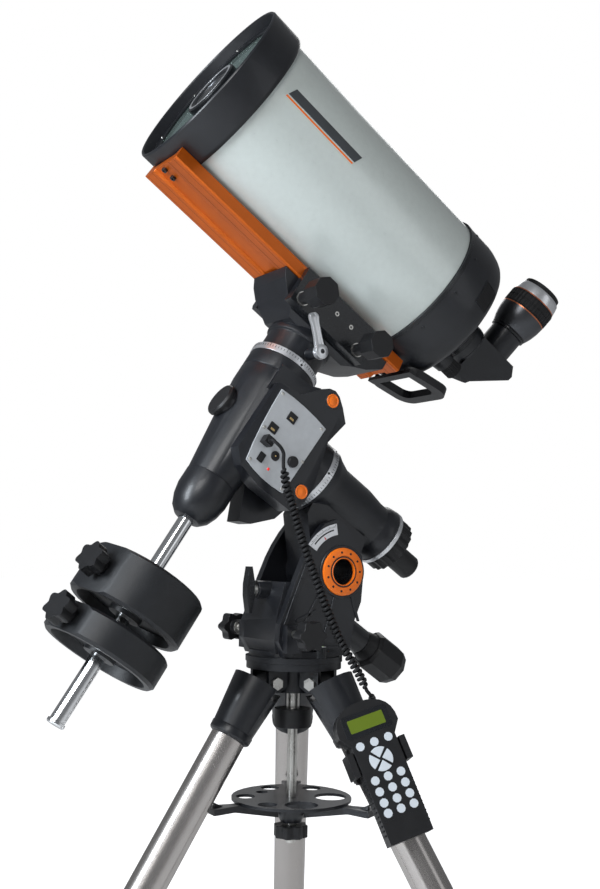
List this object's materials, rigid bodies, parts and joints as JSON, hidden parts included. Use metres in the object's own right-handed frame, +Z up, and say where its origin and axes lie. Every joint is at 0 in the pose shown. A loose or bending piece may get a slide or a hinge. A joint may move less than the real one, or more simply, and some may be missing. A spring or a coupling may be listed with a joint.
{
  "type": "schmidt cassegrain telescope",
  "caption": "Catadioptric reflecting telescope on a motorised equatorial mount with counterweights, hand control and tripod.",
  "frame": {"origin": "on the floor, under the middle of the whole without its cord", "axes": "+Z up, +X south (away from the pole the axis points to), +Y east; the optical tube points up and to -X"},
  "size_m": [0.9632, 0.8604, 1.622],
  "materials": {
    "black_paint": "satin black enamel",
    "tube_paint": "satin grey enamel",
    "orange_metal": "orange anodised",
    "silver_metal": "satin silver",
    "chrome": "polished",
    "steel": "satin",
    "brass": "turned",
    "plastic": "fine texture",
    "rubber": "matt",
    "keys": "matt",
    "glass": "coated",
    "mirror": "polished",
    "iron": "black enamel"
  },
  "bodies": {
    "tripod": {"tripod_head": "black_paint", "cord": "rubber"},
    "centre_rod": {"centre_rod": "steel"},
    "tray": {"tray": "black_paint"},
    "tray_knob": {"tray_knob": "plastic"},
    "leg_north": {"leg_north": "steel"},
    "leg_east": {"leg_east": "steel"},
    "leg_west": {"leg_west": "steel", "handset_cradle": "plastic"},
    "leg_extension_north": {"leg_extension_north": "steel"},
    "leg_extension_east": {"leg_extension_east": "steel"},
    "leg_extension_west": {"leg_extension_west": "steel"},
    "handset": {"handset_case": "plastic"},
    "keypad": {"keypad": "keys"},
    "direction_key_up": {"direction_key_up": "keys"},
    "direction_key_down": {"direction_key_down": "keys"},
    "direction_key_left": {"direction_key_left": "keys"},
    "direction_key_right": {"direction_key_right": "keys"},
    "mount_base": {"mount_base": "black_paint", "latitude_pivot": "orange_metal"},
    "azimuth_knob_east": {"azimuth_knob_east": "plastic"},
    "azimuth_knob_west": {"azimuth_knob_west": "plastic"},
    "latitude_t_bolt": {"latitude_t_bolt": "plastic"},
    "latitude_adjuster": {"latitude_adjuster": "plastic"},
    "ra_housing": {"ra_housing": "black_paint", "polar_end_cap": "plastic"},
    "ra_setting_ring": {"ra_setting_ring": "silver_metal"},
    "ra_worm": {"ra_worm": "steel"},
    "ra_clutch_lever": {"ra_clutch_lever": "silver_metal"},
    "dec_housing": {"dec_housing": "black_paint", "control_panel": "silver_metal", "ra_shaft": "steel", "ra_worm_wheel": "brass", "cord_plug": "plastic"},
    "dec_setting_ring": {"dec_setting_ring": "silver_metal"},
    "dec_worm": {"dec_worm": "steel"},
    "saddle": {"saddle": "black_paint", "dec_shaft": "black_paint", "dec_worm_wheel": "brass", "counterweight_shaft": "chrome"},
    "dec_clutch_lever": {"dec_clutch_lever": "silver_metal"},
    "saddle_jaw": {"saddle_jaw": "black_paint"},
    "saddle_knob_front": {"saddle_knob_front": "plastic"},
    "saddle_knob_rear": {"saddle_knob_rear": "plastic"},
    "counterweight_large": {"counterweight_large": "iron"},
    "counterweight_small": {"counterweight_small": "iron"},
    "counterweight_knob_large": {"counterweight_knob_large": "plastic"},
    "counterweight_knob_small": {"counterweight_knob_small": "plastic"},
    "tube": {"dovetail_bar": "orange_metal", "optical_tube": "tube_paint", "front_ring": "black_paint", "corrector_plate": "glass", "secondary_housing": "black_paint", "rear_cell": "black_paint", "carry_handle": "plastic"},
    "primary_mirror": {"primary_mirror": "mirror"},
    "focus_knob": {"focus_knob": "rubber"},
    "diagonal": {"diagonal": "black_paint"},
    "eyepiece": {"eyepiece": "rubber"},
    "eyecup": {"eyecup": "rubber"}
  },
  "joints": [
    {"name": "tray_slide", "type": "slide", "parent": "tripod", "child": "tray", "axis": [0, 0, 1], "range_m": [-0.06, 0]},
    {"name": "leg_north_fold", "type": "hinge", "parent": "tripod", "child": "leg_north", "pos_m": [-0.03215, 0.0092, 0.649], "axis": [-0.0332, -0.9995, 0], "range_deg": [0, 8]},
    {"name": "leg_north_length", "type": "slide", "parent": "leg_north", "child": "leg_extension_north", "axis": [0.5296, -0.0176, 0.848], "range_m": [-0.3, 0.1]},
    {"name": "leg_east_fold", "type": "hinge", "parent": "tripod", "child": "leg_east", "pos_m": [0.03507, 0.0451, 0.649], "axis": [-0.849, 0.5284, 0], "range_deg": [0, 8]},
    {"name": "leg_east_length", "type": "slide", "parent": "leg_east", "child": "leg_extension_east", "axis": [-0.28, -0.4499, 0.848], "range_m": [-0.3, 0.1]},
    {"name": "leg_west_fold", "type": "hinge", "parent": "tripod", "child": "leg_west", "pos_m": [0.03255, -0.03107, 0.649], "axis": [0.8821, 0.471, 0], "range_deg": [0, 8]},
    {"name": "leg_west_length", "type": "slide", "parent": "leg_west", "child": "leg_extension_west", "axis": [-0.2496, 0.4675, 0.848], "range_m": [-0.3, 0.1]},
    {"name": "tray_knob_turn", "type": "hinge", "parent": "tray", "child": "tray_knob", "pos_m": [0.01182, 0.00774, 0.44], "axis": [0, 0, 1], "range_deg": [-180, 180]},
    {"name": "centre_rod_turn", "type": "hinge", "parent": "tripod", "child": "centre_rod", "pos_m": [0.01182, 0.00774, 0.6], "axis": [0, 0, 1], "range_deg": [-180, 180]},
    {"name": "azimuth", "type": "hinge", "parent": "tripod", "child": "mount_base", "pos_m": [0.01182, 0.00774, 0.68], "axis": [0, 0, 1], "range_deg": [-7, 7]},
    {"name": "azimuth_knob_east_turn", "type": "hinge", "parent": "mount_base", "child": "azimuth_knob_east", "pos_m": [-0.03018, 0.10774, 0.721], "axis": [0, 1, 0], "range_deg": [-180, 180]},
    {"name": "azimuth_knob_west_turn", "type": "hinge", "parent": "mount_base", "child": "azimuth_knob_west", "pos_m": [-0.03018, -0.09226, 0.721], "axis": [0, 1, 0], "range_deg": [-180, 180]},
    {"name": "latitude_t_bolt_turn", "type": "hinge", "parent": "mount_base", "child": "latitude_t_bolt", "pos_m": [-0.05818, 0.00774, 0.78], "axis": [1, 0, 0], "range_deg": [-90, 90]},
    {"name": "latitude_adjuster_turn", "type": "hinge", "parent": "mount_base", "child": "latitude_adjuster", "pos_m": [0.1586, 0.00774, 0.68213], "axis": [0.831, 0, -0.5563], "range_deg": [-180, 180]},
    {"name": "altitude", "type": "hinge", "parent": "mount_base", "child": "ra_housing", "pos_m": [0.05622, 0.00774, 0.8074], "axis": [0, 1, 0], "range_deg": [-18.8, 26]},
    {"name": "ra_setting_ring_turn", "type": "hinge", "parent": "ra_housing", "child": "ra_setting_ring", "pos_m": [0.03402, 0.00774, 0.94724], "axis": [0.831, 0, -0.5563], "range_deg": [-180, 180]},
    {"name": "ra_clutch", "type": "hinge", "parent": "ra_housing", "child": "ra_clutch_lever", "pos_m": [0.05257, 0.06604, 0.93001], "axis": [0, 1, 0], "range_deg": [-30, 30]},
    {"name": "right_ascension", "type": "hinge", "parent": "ra_housing", "child": "dec_housing", "pos_m": [-0.07318, 0.00774, 1.019], "axis": [0.831, 0, -0.5563], "range_deg": [-90, 90], "deforming": ["cord"]},
    {"name": "ra_worm_turn", "type": "hinge", "parent": "ra_housing", "child": "ra_worm", "pos_m": [0.02345, 0.00774, 0.90089], "axis": [0, 1, 0], "range_deg": [-16200, 16200]},
    {"name": "dec_setting_ring_turn", "type": "hinge", "parent": "dec_housing", "child": "dec_setting_ring", "pos_m": [-0.01588, 0.00774, 1.10459], "axis": [0.5563, 0, 0.831], "range_deg": [-180, 180]},
    {"name": "declination", "type": "hinge", "parent": "dec_housing", "child": "saddle", "pos_m": [-0.07318, 0.00774, 1.019], "axis": [0.5563, 0, 0.831], "range_deg": [-180, 180]},
    {"name": "dec_worm_turn", "type": "hinge", "parent": "dec_housing", "child": "dec_worm", "pos_m": [-0.03535, -0.03766, 1.07551], "axis": [0.831, 0, -0.5563], "range_deg": [-32400, 32400]},
    {"name": "dec_clutch", "type": "hinge", "parent": "saddle", "child": "dec_clutch_lever", "pos_m": [0.00079, -0.06676, 1.12051], "axis": [0, 1, 0], "range_deg": [-30, 30]},
    {"name": "saddle_jaw_slide", "type": "slide", "parent": "saddle", "child": "saddle_jaw", "axis": [0, -1, 0], "range_m": [0, 0.006]},
    {"name": "saddle_knob_front_turn", "type": "hinge", "parent": "saddle_jaw", "child": "saddle_knob_front", "pos_m": [-0.02361, -0.09226, 1.19641], "axis": [0, 1, 0], "range_deg": [-1450, 1450]},
    {"name": "saddle_knob_rear_turn", "type": "hinge", "parent": "saddle_jaw", "child": "saddle_knob_rear", "pos_m": [0.07196, -0.09226, 1.13244], "axis": [0, 1, 0], "range_deg": [-1450, 1450]},
    {"name": "counterweight_large_slide", "type": "slide", "parent": "saddle", "child": "counterweight_large", "axis": [0.5563, 0, 0.831], "range_m": [-0.015, 0.08]},
    {"name": "counterweight_small_slide", "type": "slide", "parent": "saddle", "child": "counterweight_small", "axis": [0.5563, 0, 0.831], "range_m": [-0.09, 0.015]},
    {"name": "counterweight_knob_large_turn", "type": "hinge", "parent": "counterweight_large", "child": "counterweight_knob_large", "pos_m": [-0.31845, -0.02448, 0.82278], "axis": [-0.7867, -0.3223, 0.5266], "range_deg": [-180, 180]},
    {"name": "counterweight_knob_small_turn", "type": "hinge", "parent": "counterweight_small", "child": "counterweight_knob_small", "pos_m": [-0.3599, -0.02448, 0.76087], "axis": [-0.7867, -0.3223, 0.5266], "range_deg": [-180, 180]},
    {"name": "tube_slide", "type": "slide", "parent": "saddle", "child": "tube", "axis": [0.831, 0, -0.5563], "range_m": [-0.06, 0.03]},
    {"name": "primary_mirror_slide", "type": "slide", "parent": "tube", "child": "primary_mirror", "axis": [0.831, 0, -0.5563], "range_m": [-0.008, 0.008]},
    {"name": "focus_knob_turn", "type": "hinge", "parent": "tube", "child": "focus_knob", "pos_m": [0.29092, -0.01226, 1.13146], "axis": [0.831, 0, -0.5563], "range_deg": [-3600, 3600]},
    {"name": "diagonal_turn", "type": "hinge", "parent": "tube", "child": "diagonal", "pos_m": [0.33567, 0.00774, 1.17852], "axis": [0.831, 0, -0.5563], "range_deg": [-90, 90]},
    {"name": "eyepiece_slide", "type": "slide", "parent": "diagonal", "child": "eyepiece", "axis": [0.5158, -0.3746, 0.7705], "range_m": [0, 0.04]},
    {"name": "eyecup_slide", "type": "slide", "parent": "eyepiece", "child": "eyecup", "axis": [0.5158, -0.3746, 0.7705], "range_m": [0, 0.006]},
    {"name": "handset_unclip", "type": "slide", "parent": "leg_west", "child": "handset", "axis": [-0.3727, -0.8547, 0.3614], "range_m": [0, 0.06]},
    {"name": "keypad_press", "type": "slide", "parent": "handset", "child": "keypad", "axis": [0.3727, 0.8547, -0.3614], "range_m": [0, 0.001], "stiffness_N_per_m": 400},
    {"name": "direction_key_up_press", "type": "slide", "parent": "handset", "child": "direction_key_up", "axis": [0.3727, 0.8547, -0.3614], "range_m": [0, 0.001], "stiffness_N_per_m": 400},
    {"name": "direction_key_down_press", "type": "slide", "parent": "handset", "child": "direction_key_down", "axis": [0.3727, 0.8547, -0.3614], "range_m": [0, 0.001], "stiffness_N_per_m": 400},
    {"name": "direction_key_left_press", "type": "slide", "parent": "handset", "child": "direction_key_left", "axis": [0.3727, 0.8547, -0.3614], "range_m": [0, 0.001], "stiffness_N_per_m": 400},
    {"name": "direction_key_right_press", "type": "slide", "parent": "handset", "child": "direction_key_right", "axis": [0.3727, 0.8547, -0.3614], "range_m": [0, 0.001], "stiffness_N_per_m": 400}
  ],
  "couplings": [
    {"joint": "leg_north_fold", "follows": "tray_slide", "rad_per_m": -2.298},
    {"joint": "leg_east_fold", "follows": "tray_slide", "rad_per_m": -2.298},
    {"joint": "leg_west_fold", "follows": "tray_slide", "rad_per_m": -2.298},
    {"joint": "ra_worm_turn", "follows": "right_ascension", "ratio": 180},
    {"joint": "dec_worm_turn", "follows": "declination", "ratio": 180},
    {"joint": "saddle_knob_front_turn", "follows": "saddle_jaw_slide", "rad_per_m": 4188.8},
    {"joint": "saddle_knob_rear_turn", "follows": "saddle_jaw_slide", "rad_per_m": 4188.8},
    {"joint": "focus_knob_turn", "follows": "primary_mirror_slide", "rad_per_m": 7854}
  ]
}
